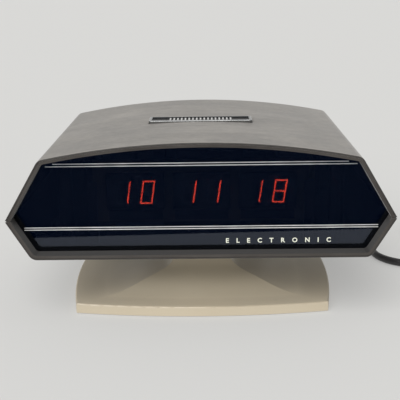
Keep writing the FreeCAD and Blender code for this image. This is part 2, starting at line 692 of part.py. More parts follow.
def speaker_cone():
    rim = SPEAKER_DIAMETER / 2 - 4.8
    y = PANEL_IN - 1.6
    profile = [(rim, y), (rim, y - 0.4), (6.4, y - 8.0), (0, y - 6.4), (0, y - 6.0), (6.2, y - 7.4)]
    return turned_y(profile, SPEAKER_X, SPEAKER_Z)


def speaker_magnet():
    y = PANEL_IN - 12.4
    magnet = rod_y(SPEAKER_X, y - 7.0, y, SPEAKER_Z, 27)
    plate = rod_y(SPEAKER_X, y - 8.4, y - 7.0, SPEAKER_Z, 24)
    return magnet.fuse(plate)


def speaker_clips():
    """Two metal clips that hold the speaker's rim against the rear panel."""
    clips = []
    for side in (-1, 1):
        reach = SPEAKER_DIAMETER / 2
        x0, x1 = sorted((SPEAKER_X + side * (reach + 0.2), SPEAKER_X + side * (reach + 5)))
        foot = block(x0, x1, PANEL_IN - 1.2, PANEL_IN, SPEAKER_Z - 4, SPEAKER_Z + 4)
        x0, x1 = sorted((SPEAKER_X + side * (reach - 1.6), SPEAKER_X + side * (reach + 5)))
        tongue = block(x0, x1, PANEL_IN - 2.2, PANEL_IN - 1.2, SPEAKER_Z - 4, SPEAKER_Z + 4)
        clips.append(foot.fuse(tongue).removeSplitter())
    return Part.makeCompound(clips)


# ---------------------------------------------------------------- pedestal
def side_height_curve(span):
    """Height of a pedestal face against the distance in from its edge."""
    shares = [(0.22, LIP_TOP), (0.45, LIP_TOP + 0.6), (0.66, 11.5), (0.90, 15.0),
              (0.97, 20.0), (1.0, 28.0), (1.0, FLOOR_Z)]
    return [(LIP_ROUND, LIP_TOP)] + [(share * span, height) for share, height in shares]


def pedestal_side(half_chord, half_span, bow, neck, inset):
    """A ring sector under one concave face, for the side that faces -Y."""
    radius = (half_chord ** 2 + bow ** 2) / (2 * bow)
    edge = half_span + bow
    centre = -edge + radius
    drop = inset
    curve = side_height_curve(edge - neck)
    reach = 2 * edge + 5
    start = radius - inset
    poles = [Vector(0, centre - radius + inset + distance, height - drop) for distance, height in curve]
    if inset:
        poles[-1] = Vector(0, poles[-1].y, FLOOR_Z - inset)
    rise = Part.BSplineCurve()
    rise.buildFromPoles(poles, False, 3)
    low = Vector(0, centre - start, LIP_BOTTOM - (1 if inset else 0))
    lip_edge = Vector(0, low.y, poles[0].z - LIP_ROUND)
    bend = LIP_ROUND * (1 - math.sqrt(0.5))
    lip_round = Part.Arc(lip_edge, Vector(0, low.y + bend, poles[0].z - bend), poles[0])
    far_high = Vector(0, centre - radius + reach, poles[-1].z)
    far_low = Vector(0, far_high.y, low.z)
    edges = [Part.LineSegment(low, lip_edge).toShape(), lip_round.toShape(), rise.toShape(),
             Part.LineSegment(poles[-1], far_high).toShape(),
             Part.LineSegment(far_high, far_low).toShape(),
             Part.LineSegment(far_low, low).toShape()]
    face = Part.Face(Part.Wire(edges))
    axis = Vector(0, centre, 0)
    face.rotate(axis, Vector(0, 0, 1), -28)
    return face.revolve(axis, Vector(0, 0, 1), 56)


def pedestal_form(inset):
    sides = []
    front = pedestal_side(BASE_CORNER_X, BASE_CORNER_Y, BASE_FRONT_BOW, NECK_HALF_Y, inset)
    flank = pedestal_side(BASE_CORNER_Y, BASE_CORNER_X, BASE_SIDE_BOW, NECK_HALF_X, inset)
    for shape, angle in ((front, 0), (flank, 90), (front, 180), (flank, 270)):
        turned = shape.copy()
        turned.rotate(Vector(0, 0, 0), Vector(0, 0, 1), angle)
        sides.append(turned)
    form = sides[0]
    for other in sides[1:]:
        form = form.common(other)
    form.translate(Vector(0, BASE_Y, 0))
    return form


PLATE_BOTTOM = 1.0
PLATE_THICK = 1.2
PLATE_SCREWS = [(x, BASE_Y + y) for x in (-34, 34) for y in (-26, 26)]
FOOT_PLACES = [(x, BASE_Y + y) for x in (-52, 52) for y in (-42, 42)]


def pedestal(outer, inner):
    shell = outer.cut(inner)
    bosses = [post(x, y, PLATE_BOTTOM + PLATE_THICK, 20, 6.5) for x, y in PLATE_SCREWS]
    shell = shell.fuse(joined(bosses).common(outer))
    for x, y in PLATE_SCREWS:
        shell = shell.cut(post(x, y, 0, PLATE_BOTTOM + PLATE_THICK + 4, INNER_SCREW))
    for x, y in PEDESTAL_POSTS:
        shell = shell.cut(post(x, y, FLOOR_Z - PEDESTAL_WALL - 1, FLOOR_Z + 1, 3.9))
    return shell.removeSplitter()


def pedestal_plate(inner):
    slab = block(-90, 90, -90, 90, PLATE_BOTTOM, PLATE_BOTTOM + PLATE_THICK)
    plate = inner.common(slab)
    for x, y in PLATE_SCREWS:
        plate = plate.cut(post(x, y, 0, 5, 2.9))
    return plate


# ---------------------------------------------------------------- cord
CORD_ROUTE = [
    CORD_EXIT,
    Vector(62, 107, 47.5),
    Vector(63.5, 126, 39.5),
    Vector(68, 142, 27),
    Vector(75, 154, 15),
    Vector(84, 163, 7),
    Vector(95.5, 168.5, 2.8),
    Vector(108, 167.5, 2.6),
    Vector(118.5, 160, 2.6),
    Vector(124, 148.5, 2.6),
    Vector(124, 135, 2.6),
    Vector(120, 120, 2.6),
    Vector(115, 105.5, 2.6),
    Vector(110.5, 91, 2.6),
    Vector(107, 73.5, 2.6),
    Vector(108.5, 60, 2.6),
    Vector(111, 47, 2.6),
    Vector(111, 34, 2.6),
    Vector(117.2, 22.6, 2.6),
    Vector(128.2, 15.8, 2.6),
    Vector(142, 15.2, 2.6),
    Vector(155, 15.6, 2.6),
    Vector(167, 16.8, 2.6),
    Vector(177, 16.8, 2.6),
]
COIL_CENTRE = Vector(186, 53.8, 0)
COIL_OUTER_TURN = 37.0
COIL_INNER_TURN = 18.2
COIL_LAYERS = 2
TAIL_ROUTE = [
    Vector(219.0, 58.0, 8.8),
    Vector(217.0, 66.5, 9.6),
    Vector(210.8, 75.2, 11.0),
    Vector(201.5, 80.9, 13.2),
    Vector(192.0, 82.6, 15.5),
    Vector(183.5, 80.3, 15.5),
]


def cord_coil():
    """The outer shape of the wound-up part of the cord."""
    outer = COIL_OUTER_TURN + CORD_DIAMETER / 2
    inner = COIL_INNER_TURN - CORD_DIAMETER / 2
    height = COIL_LAYERS * CORD_DIAMETER
    ring = Part.makeCylinder(outer, height, COIL_CENTRE)
    ring = ring.cut(Part.makeCylinder(inner, height, COIL_CENTRE))
    return ring.makeFillet(2.0, ring.Edges)


def strain_relief():
    """Tapered rubber sleeve, with a collar each side of the rear panel."""
    y0 = PANEL_IN
    y1 = REAR_PANEL_OUT
    profile = [(0, y0 - 2.5), (5.5, y0 - 2.5), (5.5, y0), (4.0, y0), (4.0, y1), (5.5, y1), (5.5, y1 + 2.5),
               (4.2, y1 + 3.0), (2.9, CORD_EXIT.y), (0, CORD_EXIT.y)]
    return turned_y(profile, CORD_EXIT.x, CORD_EXIT.z)


PLUG_LENGTH = 27.0
PLUG_HALF_THICK = 6.3
BLADE_SPACING = 12.7
BLADE_LENGTH = 16.5


def at_cord_end(shape):
    """Turns a piece made along +Y from the origin so that it carries on from the cord's tail."""
    ahead = TAIL_ROUTE[-1] - TAIL_ROUTE[-2]
    heading = math.degrees(math.atan2(ahead.y, ahead.x))
    shape.rotate(Vector(0, 0, 0), Vector(0, 0, 1), heading - 90)
    shape.translate(TAIL_ROUTE[-1])
    return shape


def plug_body():
    """A moulded two-blade plug lying flat, with its taper towards the cord."""
    taper = Part.makeCone(CORD_DIAMETER / 2 + 0.6, CORD_DIAMETER / 2 + 2.6, 9.0, Vector(0, 0, 0), Vector(0, 1, 0))
    outline = [Vector(-7, 8, 0), Vector(7, 8, 0), Vector(11.5, 16, 0), Vector(11.5, PLUG_LENGTH, 0),
               Vector(-11.5, PLUG_LENGTH, 0), Vector(-11.5, 16, 0)]
    grip = Part.Face(Part.makePolygon(outline + outline[:1])).extrude(Vector(0, 0, 2 * PLUG_HALF_THICK))
    grip.translate(Vector(0, 0, -PLUG_HALF_THICK))
    grip = grip.makeFillet(1.8, grip.Edges)
    return at_cord_end(grip.fuse(taper).removeSplitter())


def plug_blades():
    blades = []
    for side in (-1, 1):
        x = side * BLADE_SPACING / 2
        blade = block(x - 0.75, x + 0.75, PLUG_LENGTH, PLUG_LENGTH + BLADE_LENGTH, -3.15, 3.15)
        hole = Part.makeCylinder(1.6, 4, Vector(x - 2, PLUG_LENGTH + 11.5, 0), Vector(1, 0, 0))
        blades.append(blade.cut(hole))
    return at_cord_end(Part.makeCompound(blades))


def internal_leads():
    """Two mains leads to the transformer and two leads from the speaker to the board."""
    leads = []
    for shift in (-1.1, 1.1):
        x = CORD_EXIT.x + shift
        mains = [Vector(x, PANEL_IN - 2.5, CORD_EXIT.z), Vector(x, 56, CORD_EXIT.z), Vector(x + 2, 49, 51),
                 Vector(x + 3.2, 42, 57), Vector(x + 3.2, 37.5, 60), Vector(x + 3.2, 32.8, 60)]
        leads.append(tube(mains, 1.4, "mains_lead"))
        x = SPEAKER_X + shift
        speaker = [Vector(x, 55.6, 49.3), Vector(x, 52, 50.6), Vector(x, 48.5, 50.6), Vector(x, 46.2, 50.0),
                   Vector(x, 45.2, BOARD_TOP + 0.2)]
        leads.append(tube(speaker, 1.0, "speaker_lead"))
    return Part.makeCompound(leads)


# ---------------------------------------------------------------- build
def build_case():
    ring = shell_ring()
    save("case_top", top_shell(ring))
    save("case_bottom", bottom_shell(ring))
    save("case_screws", Part.makeCompound(
        [pan_screw(x, y, POST_SPLIT_Z - 4, 15, 3.0, 5.8, True) for x, y in CASE_POSTS]))
    save("front_window", window())
    save("upper_pinstripes", stripes(UPPER_STRIPES_Z))
    save("lower_pinstripes", stripes(LOWER_STRIPES_Z))
    save("rear_panel", rear_panel())


def build_controls():
    save("snooze_bar", snooze_bar())
    save("snooze_insert", snooze_insert())
    save("snooze_springs", Part.makeCompound([snooze_spring(-SPRING_X), snooze_spring(SPRING_X)]))
    save("snooze_bridge", snooze_bridge())
    save("snooze_switch", snooze_switch())
    save("snooze_plunger", snooze_plunger())
    for name, x in zip(BUTTON_NAMES, BUTTON_X):
        save(name, push_button(x))
    save("push_switches", push_switches())
    for name, x in zip(SLIDE_NAMES, SLIDE_X):
        save(name, slide_knob(x))
    save("slide_switches", slide_switches())


def build_display():
    save("display_board", display_board())
    for name, x in zip(TUBE_NAMES, TUBE_X):
        save(name, display_tube(x))
    save("display_backs", Part.makeCompound([display_back(x) for x in TUBE_X]))
    save("lit_segments", segments(True))
    save("unlit_segments", segments(False))
    save("display_pins", display_pins())
    save("display_sockets", display_sockets())
    save("ribbon_cable", ribbon_cable())


def build_electronics():
    save("main_board", main_board())
    save("clock_chip", clock_chip())
    save("driver_transistors", Part.makeCompound(
        [transistor(-40 + 7 * step, -26 + 8 * row) for step in range(9) for row in (0, 1)][:14]))
    save("resistors", Part.makeCompound(
        [axial_part(-10 + 12 * column, 8 + 5 * row, 6.0, 2.2, 0.6, 1.3) for column in range(3) for row in range(4)]))
    save("diodes", Part.makeCompound(
        [axial_part(22, -22 + 5 * row, 5.0, 2.7, 0.8, 1.6) for row in range(4)]))
    save("filter_capacitor", axial_part(4, 38, 28.0, 13.0, 0.9, 6.8))
    save("disc_capacitors", Part.makeCompound([disc_capacitor(-50, -20 + 9 * step) for step in range(4)]))
    save("transformer_core", transformer_core())
    save("transformer_winding", transformer_winding())
    save("transformer_bracket", transformer_bracket())
    save("speaker_basket", speaker_basket())
    save("speaker_cone", speaker_cone())
    save("speaker_magnet", speaker_magnet())
    save("speaker_clips", speaker_clips())
    save("internal_leads", internal_leads())
    screws = [pan_screw(x, y, BOARD_TOP, 6, INNER_SCREW, 5.0, False) for x, y in BOARD_POSTS]
    screws += [pan_screw(x, y, CORE_Z, 4, INNER_SCREW, 5.0, False) for x, y in TRANSFORMER_POSTS]
    screws += [pan_screw(x, y, BRIDGE_TOP - 1.6, 6, INNER_SCREW, 5.0, True) for x, y in BRIDGE_POSTS]
    save("inner_screws", Part.makeCompound(screws))


def build_pedestal():
    outer = pedestal_form(0)
    inner = pedestal_form(PEDESTAL_WALL)
    save("pedestal", pedestal(outer, inner))
    save("pedestal_plate", pedestal_plate(inner))
    save("pedestal_screws", Part.makeCompound(
        [pan_screw(x, y, FLOOR_Z - PEDESTAL_WALL, 9.4, 3.5, 6.4, True) for x, y in PEDESTAL_POSTS]))
    save("plate_screws", Part.makeCompound(
        [pan_screw(x, y, PLATE_BOTTOM, 4.6, INNER_SCREW, 2.6, True) for x, y in PLATE_SCREWS]))
    save("feet", Part.makeCompound([post(x, y, 0, PLATE_BOTTOM, 12) for x, y in FOOT_PLACES]))


def build_cord():
    coil = cord_coil()
    save("strain_relief", strain_relief())
    reach = Part.makeCylinder(COIL_OUTER_TURN + CORD_DIAMETER / 2, 30, COIL_CENTRE)
    save("cord", tube(CORD_ROUTE, CORD_DIAMETER, "cord").cut(reach))
    save("cord_coil", coil)
    save("cord_tail", tube(TAIL_ROUTE, CORD_DIAMETER, "cord_tail").cut(coil))
    save("plug_body", plug_body())
    save("plug_blades", plug_blades())


build_case()
build_controls()
build_display()
build_electronics()
build_pedestal()
build_cord()
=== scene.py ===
import math

import bmesh
import bpy
from mathutils import Matrix, Vector


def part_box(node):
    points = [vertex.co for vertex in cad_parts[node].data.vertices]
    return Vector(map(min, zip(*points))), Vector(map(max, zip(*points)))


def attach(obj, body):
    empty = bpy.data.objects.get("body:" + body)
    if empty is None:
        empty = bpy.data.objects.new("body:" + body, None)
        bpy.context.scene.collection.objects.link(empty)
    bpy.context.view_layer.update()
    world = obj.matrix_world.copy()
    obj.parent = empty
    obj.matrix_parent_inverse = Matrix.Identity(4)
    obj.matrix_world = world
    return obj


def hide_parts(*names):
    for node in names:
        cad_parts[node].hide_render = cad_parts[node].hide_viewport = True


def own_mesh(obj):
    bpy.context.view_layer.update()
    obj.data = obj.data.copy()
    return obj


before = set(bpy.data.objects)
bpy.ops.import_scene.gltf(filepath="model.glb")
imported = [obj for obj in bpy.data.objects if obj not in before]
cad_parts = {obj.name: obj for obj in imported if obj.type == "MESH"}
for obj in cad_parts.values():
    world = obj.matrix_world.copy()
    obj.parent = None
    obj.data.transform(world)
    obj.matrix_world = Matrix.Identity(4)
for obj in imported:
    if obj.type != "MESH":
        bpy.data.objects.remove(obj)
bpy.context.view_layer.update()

# ------------------------------------------------------------------ camera
# A short telephoto lens half a metre in front of the clock and a little above it. It looks slightly
# down at the window, almost square on, and leans by less than a degree.
CAMERA_PLACE = (0.00458, -0.48256, 0.1814)
CAMERA_TURN = 0.659
CAMERA_DIP = 15.263
CAMERA_LEAN = -0.777
camera_data = bpy.data.cameras.new("camera")
camera_data.lens = 75.894
camera_data.sensor_width = 36.0
camera = bpy.data.objects.new("camera", camera_data)
camera.matrix_world = (
    Matrix.Translation(CAMERA_PLACE)
    @ Matrix.Rotation(math.radians(CAMERA_TURN), 4, "Z")
    @ Matrix.Rotation(math.radians(90 - CAMERA_DIP), 4, "X")
    @ Matrix.Rotation(math.radians(CAMERA_LEAN), 4, "Z")
)
bpy.context.scene.collection.objects.link(camera)
bpy.context.scene.camera = camera

# ------------------------------------------------------------------ table, light and the reflection-only dark sheet in front
# A pale matt table that runs back out of sight, in an even pale room with one wide soft light from the
# front left. In front of the clock leans a dark sheet that only gloss such as the window's can see: a painted
# dark reflection.
table_mesh = bpy.data.meshes.new("table_top")
table_bm = bmesh.new()
TABLE_HALF_WIDTH = 9.0
bmesh.ops.create_grid(table_bm, x_segments=1, y_segments=1, size=TABLE_HALF_WIDTH)
table_bm.to_mesh(table_mesh)
table_bm.free()
table_top = bpy.data.objects.new("table_top", table_mesh)
bpy.context.scene.collection.objects.link(table_top)
table_paint = bpy.data.materials.new("table_paint")
table_paint.use_nodes = True
table_shader = table_paint.node_tree.nodes["Principled BSDF"]
table_shader.inputs["Base Color"].default_value = (0.36, 0.36, 0.355, 1)
table_shader.inputs["Emission Color"].default_value = (1.0, 1.0, 0.985, 1)
table_shader.inputs["Emission Strength"].default_value = 0.305
table_shader.inputs["Roughness"].default_value = 0.9
table_shader.inputs["Specular IOR Level"].default_value = 0.1
table_mesh.materials.append(table_paint)

# A sheet seen only by gloss, black with a faint navy glow: a painted dark reflection in the window.
dark_mesh = bpy.data.meshes.new("reflection_only_dark_sheet")
dark_bm = bmesh.new()
DARK_HALF_WIDTH = 1.6
DARK_NEAR_LEFT, DARK_NEAR_RIGHT, DARK_FAR = -0.127, -0.309, -1.4
DARK_LOW, DARK_HIGH = 0.0006, 0.9
dark_corners = [dark_bm.verts.new(place) for place in (
    (-DARK_HALF_WIDTH, DARK_NEAR_LEFT, DARK_LOW), (DARK_HALF_WIDTH, DARK_NEAR_RIGHT, DARK_LOW),
    (DARK_HALF_WIDTH, DARK_FAR, DARK_HIGH), (-DARK_HALF_WIDTH, DARK_FAR, DARK_HIGH))]
dark_bm.faces.new(dark_corners)
dark_bm.to_mesh(dark_mesh)
dark_bm.free()
reflection_only_dark_sheet = bpy.data.objects.new("reflection_only_dark_sheet", dark_mesh)
bpy.context.scene.collection.objects.link(reflection_only_dark_sheet)
reflection_only_dark_sheet.visible_camera = False
reflection_only_dark_sheet.visible_diffuse = False
reflection_only_dark_sheet.visible_shadow = False
reflection_only_dark_sheet.visible_transmission = False
painted_dark_reflection = bpy.data.materials.new("painted_dark_reflection")
painted_dark_reflection.use_nodes = True
dark_shader = painted_dark_reflection.node_tree.nodes["Principled BSDF"]
dark_shader.inputs["Base Color"].default_value = (0.0, 0.0, 0.0, 1)
dark_shader.inputs["Specular IOR Level"].default_value = 0.0
# The faint navy glow only tints the window's painted dark reflection.
dark_shader.inputs["Emission Color"].default_value = (0.0, 0.02, 0.078, 1)
dark_shader.inputs["Emission Strength"].default_value = 1.0
dark_mesh.materials.append(painted_dark_reflection)

room_light = bpy.data.worlds.new("room_light")
room_light.use_nodes = True
room_light.node_tree.nodes["Background"].inputs["Color"].default_value = (1.0, 0.995, 0.98, 1)
room_light.node_tree.nodes["Background"].inputs["Strength"].default_value = 0.48
bpy.context.scene.world = room_light
bpy.context.scene.view_settings.view_transform = "Standard"

soft_data = bpy.data.lights.new("soft_front_light", "SUN")
soft_data.energy = 2.8
soft_data.angle = math.radians(50)
soft_data.color = (1.0, 0.99, 0.97)
soft_light = bpy.data.objects.new("soft_front_light", soft_data)
LIGHT_FROM_THE_LEFT = 18
LIGHT_FROM_OVERHEAD = 49
soft_light.matrix_world = (Matrix.Rotation(math.radians(-LIGHT_FROM_THE_LEFT), 4, "Z")
                           @ Matrix.Rotation(math.radians(LIGHT_FROM_OVERHEAD), 4, "X"))
bpy.context.scene.collection.objects.link(soft_light)

# ------------------------------------------------------------------ case shells
# Two halves moulded in dark brown plastic, meeting at the side creases. Years of wiping and dust
# have greyed the roof, with fine streaks that run from side to side. A paler line just behind the front
# edge is a painted highlight, and the rounded front edge and the ledge under the window carry painted shade.


def group_of(name, takes, gives):
    """An empty shader node group with these sockets, and its way in and way out."""
    group = bpy.data.node_groups.new(name, "ShaderNodeTree")
    for label, kind, value in takes:
        socket = group.interface.new_socket(name=label, in_out="INPUT", socket_type="NodeSocket" + kind)
        socket.default_value = value
    for label, kind in gives:
        group.interface.new_socket(name=label, in_out="OUTPUT", socket_type="NodeSocket" + kind)
    return group, group.nodes.new("NodeGroupInput"), group.nodes.new("NodeGroupOutput")


def add_node(tree, kind, values=None, **settings):
    """A node in this tree, with these settings, and with values set or linked on its inputs."""
    node = tree.nodes.new("ShaderNode" + kind)
    for key, setting in settings.items():
        setattr(node, key, setting)
    for key, value in (values or {}).items():
        if isinstance(value, bpy.types.NodeSocket):
            tree.links.new(value, node.inputs[key])
        else:
            node.inputs[key].default_value = value
    return node


def noise(tree, place, scale, detail=3.0, rough=0.5):
    """A noise texture's value at this place, whose scale is in features to the metre."""
    return add_node(tree, "TexNoise", {"Vector": place, "Scale": scale, "Detail": detail,
                                       "Roughness": rough}).outputs["Fac"]


def ramp(tree, value, low, high, to_low=0.0, to_high=1.0):
    """The value spread out from low..high to to_low..to_high, and held at the ends."""
    return add_node(tree, "MapRange", {"Value": value, "From Min": low, "From Max": high,
                                       "To Min": to_low, "To Max": to_high}).outputs["Result"]


def calc(tree, operation, first, second=0.0):
    """One step of arithmetic on two values."""
    return add_node(tree, "Math", {0: first, 1: second}, operation=operation).outputs[0]


def weighed(tree, base, *marks):
    """The base value, plus each mark times its weight."""
    for mark, weight in marks:
        base = calc(tree, "ADD", base, calc(tree, "MULTIPLY", mark, weight))
    return base


def axes_of(tree, place):
    """The X, Y and Z of a place or a direction."""
    return add_node(tree, "SeparateXYZ", {"Vector": place}).outputs


def stretched(tree, place, **placing):
    """A place scaled, shifted or turned before a pattern reads it."""
    values = {key.capitalize(): value for key, value in placing.items()}
    return add_node(tree, "Mapping", {"Vector": place, **values}).outputs["Vector"]


def mixed(tree, share, first, second):
    """One colour laid over another by a share from 0 to 1."""
    node = add_node(tree, "Mix", data_type="RGBA")
    for index, value in ((0, share), (6, first), (7, second)):
        if isinstance(value, bpy.types.NodeSocket):
            tree.links.new(value, node.inputs[index])
        else:
            node.inputs[index].default_value = value
    return node.outputs[2]


moulded, moulded_in, moulded_out = group_of(
    "moulded_surface",
    [("Colour", "Color", (0.5, 0.5, 0.5, 1)), ("Shade Spread", "Float", 0.06), ("Patch Scale", "Float", 60.0),
     ("Grain Scale", "Float", 1500.0), ("Roughness", "Float", 0.5), ("Roughness Spread", "Float", 0.1)],
    [("Colour", "Color"), ("Roughness", "Float"), ("Height", "Float")],
)
object_place = add_node(moulded, "TexCoord").outputs["Object"]
patches = noise(moulded, object_place, moulded_in.outputs["Patch Scale"], 4.0)
patches = ramp(moulded, patches, 0.3, 0.7, -1.0, 1.0)
grain = noise(moulded, object_place, moulded_in.outputs["Grain Scale"], 2.0)
shade = weighed(moulded, 1.0, (patches, moulded_in.outputs["Shade Spread"]))
tinted = add_node(moulded, "HueSaturation", {"Value": shade, "Color": moulded_in.outputs["Colour"]})
rough_here = weighed(moulded, moulded_in.outputs["Roughness"],
                     (patches, moulded_in.outputs["Roughness Spread"]))
moulded.links.new(tinted.outputs["Color"], moulded_out.inputs["Colour"])
moulded.links.new(rough_here, moulded_out.inputs["Roughness"])
moulded.links.new(grain, moulded_out.inputs["Height"])


def plain_shader(name, **fixed):
    """A new material, its tree and its Principled shader, with fixed values on the shader's sockets."""
    material = bpy.data.materials.new(name)
    material.use_nodes = True
    shader = material.node_tree.nodes["Principled BSDF"]
    for key, value in fixed.items():
        shader.inputs[key.replace("_", " ")].default_value = value
    return material, material.node_tree, shader


def bumped(tree, shader, height, strength, distance=0.0001):
    """Fine relief of this height, in metres, on a shader."""
    bump = add_node(tree, "Bump", {"Height": height, "Strength": strength, "Distance": distance})
    tree.links.new(bump.outputs["Normal"], shader.inputs["Normal"])


def surface(name, colour, rough, spread=0.06, patch=60.0, grain=1500.0, bump=0.15, **fixed):
    """A material with the uneven shade, gloss and fine grain of a made surface."""
    material, tree, shader = plain_shader(name, **fixed)
    group = tree.nodes.new("ShaderNodeGroup")
    group.node_tree = moulded
    for key, value in (("Colour", (*colour, 1)), ("Shade Spread", spread), ("Patch Scale", patch),
                       ("Grain Scale", grain), ("Roughness", rough), ("Roughness Spread", 0.08)):
        group.inputs[key].default_value = value
    tree.links.new(group.outputs["Colour"], shader.inputs["Base Color"])
    tree.links.new(group.outputs["Roughness"], shader.inputs["Roughness"])
    bumped(tree, shader, group.outputs["Height"], bump)
    return material


def dress(material, *names):
    """Gives CAD pieces their finish."""
    for name in names:
        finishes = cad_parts[name].data.materials
        finishes.clear()
        finishes.append(material)


case_plastic, case_tree, case_shader = plain_shader(
    "case_plastic", IOR=1.5, Sheen_Weight=0.36, Sheen_Roughness=0.35)
case_coord = add_node(case_tree, "TexCoord")
case_place = case_coord.outputs["Object"]
case_axes = axes_of(case_tree, case_place)
facing = axes_of(case_tree, case_coord.outputs["Normal"])
front_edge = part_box("case_top")[0].y
above_seam = ramp(case_tree, case_axes["Z"], 0.0570, 0.0600)
below_seam = calc(case_tree, "SUBTRACT", 1.0, above_seam)
# The up-facing ledge below the seam is painted near black: painted shade in the recess under the window.
ledge_painted_shade = calc(case_tree, "MULTIPLY", ramp(case_tree, facing["Z"], 0.1, 0.3), below_seam)
# A thin near-black band on the rounded front edge, where it turns away from the light: painted shade.
turning_away = calc(case_tree, "MULTIPLY", ramp(case_tree, facing["Y"], -0.15, -0.35),
                    ramp(case_tree, facing["Y"], -0.99, -0.88))
round_edge_painted_shade = calc(case_tree, "MULTIPLY", turning_away,
                    ramp(case_tree, case_axes["Y"], front_edge + 0.0005, front_edge + 0.0007, 1.0, 0.0))
# A pale line just behind the roof's front edge: a painted highlight.
edge_painted_highlight = ramp(case_tree, case_axes["Y"], front_edge + 0.0008, front_edge + 0.0022, 0.28, 0.0)
dusty = calc(case_tree, "MULTIPLY", ramp(case_tree, facing["Z"], 0.15, 0.9), above_seam)
dusty = calc(case_tree, "MULTIPLY", dusty, calc(case_tree, "SUBTRACT", 1.0, round_edge_painted_shade))

streak_place = stretched(case_tree, case_place, scale=(9.0, 420.0, 420.0))
smear_place = stretched(case_tree, case_place, scale=(14.0, 34.0, 34.0), location=(0.3, 0.1, 0))
scuff_place = stretched(case_tree, case_place, scale=(60.0, 260.0, 260.0), rotation=(0, 0, 0.25))
streaks = ramp(case_tree, noise(case_tree, streak_place, 1.0, 5.0, 0.65), 0.36, 0.66)
smears = ramp(case_tree, noise(case_tree, smear_place, 1.0, 3.0, 0.55), 0.5, 0.72)
scuffs = ramp(case_tree, noise(case_tree, scuff_place, 1.0, 5.0, 0.7), 0.60, 0.70)
clouds = ramp(case_tree, noise(case_tree, case_place, 46.0, 6.0, 0.65), 0.36, 0.66)
mottle = ramp(case_tree, noise(case_tree, case_place, 300.0, 4.0, 0.6), 0.36, 0.66)

grey_share = weighed(case_tree, 0.17, (clouds, 0.16), (streaks, 0.20), (smears, 0.15), (mottle, 0.13),
                     (scuffs, 0.16), (edge_painted_highlight, 1.0))
grey_share = calc(case_tree, "MULTIPLY", grey_share, dusty)
brown = mixed(case_tree, clouds, (0.044, 0.038, 0.033, 1), (0.058, 0.051, 0.045, 1))
brown = mixed(case_tree, ledge_painted_shade, brown, (0.013, 0.011, 0.010, 1))
brown = mixed(case_tree, round_edge_painted_shade, brown, (0.014, 0.012, 0.011, 1))
case_colour = mixed(case_tree, grey_share, brown, (0.38, 0.355, 0.322, 1))
case_rough = weighed(case_tree, 0.36, (clouds, 0.16), (streaks, 0.08), (ledge_painted_shade, 0.5))
case_relief = weighed(case_tree, noise(case_tree, case_place, 1900.0, 2.0), (streaks, 0.5))
case_tree.links.new(case_colour, case_shader.inputs["Base Color"])
case_tree.links.new(case_rough, case_shader.inputs["Roughness"])
bumped(case_tree, case_shader, case_relief, 0.12)
dress(case_plastic, "case_top", "case_bottom")

# ------------------------------------------------------------------ window and its foil lines
# A smoked acrylic pane, dark enough to hide everything behind it but lit neon, held in a groove
# round the case. Two pairs of silver foil lines are pressed on its face, and one word is printed.
window_acrylic, window_tree, window_shader = plain_shader(
    "window_acrylic", Roughness=0.02, IOR=1.49, Transmission_Weight=1.0,
    Specular_Tint=(1.02, 1.16, 1.50, 1), Specular_IOR_Level=1.0)
window_place = add_node(window_tree, "TexCoord").outputs["Object"]
window_tone = mixed(window_tree, ramp(window_tree, noise(window_tree, window_place, 25.0), 0.4, 0.6),
                    (0.078, 0.090, 0.122, 1), (0.092, 0.104, 0.136, 1))
window_tree.links.new(window_tone, window_shader.inputs["Base Color"])
dress(window_acrylic, "front_window")

stripe_metal = surface("stripe_metal", (0.80, 0.80, 0.78), 0.38, spread=0.12, patch=140.0, grain=2500.0,
                       Metallic=0.55)
dress(stripe_metal, "upper_pinstripes", "lower_pinstripes")
FOIL_WIDTH = 0.00048
FOIL_EDGE = 0.00001
for name, node_name, lines in (
        ("upper_foil_lines", "upper_pinstripes", ((1, -0.0753, 0.0756), (-1, -0.0790, 0.0800))),
        ("lower_foil_lines", "lower_pinstripes", ((1, -0.0918, 0.0918), (-1, -0.0918, 0.0918)))):
    low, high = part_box(node_name)
    foil_bm = bmesh.new()
    for side, start, end in lines:
        middle_z = high.z - FOIL_WIDTH / 2 if side > 0 else low.z + FOIL_WIDTH / 2
        strip = bmesh.ops.create_cube(foil_bm, size=1.0)["verts"]
        bmesh.ops.scale(foil_bm, verts=strip, vec=(end - start, high.y - low.y, FOIL_WIDTH))
        bmesh.ops.translate(foil_bm, verts=strip, vec=((start + end) / 2, (low.y + high.y) / 2, middle_z))
    bmesh.ops.bevel(foil_bm, geom=foil_bm.edges[:], offset=FOIL_EDGE, segments=1, profile=0.5,
                    material=-1, affect="EDGES")
    foil_mesh = bpy.data.meshes.new(name)
    foil_bm.to_mesh(foil_mesh)
    foil_bm.free()
    foil_lines = bpy.data.objects.new(name, foil_mesh)
    bpy.context.scene.collection.objects.link(foil_lines)
    foil_mesh.materials.append(stripe_metal)
    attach(foil_lines, "case")
    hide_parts(node_name)

INK_THICKNESS = 0.00004
INK_STANDS_OUT = 0.00002


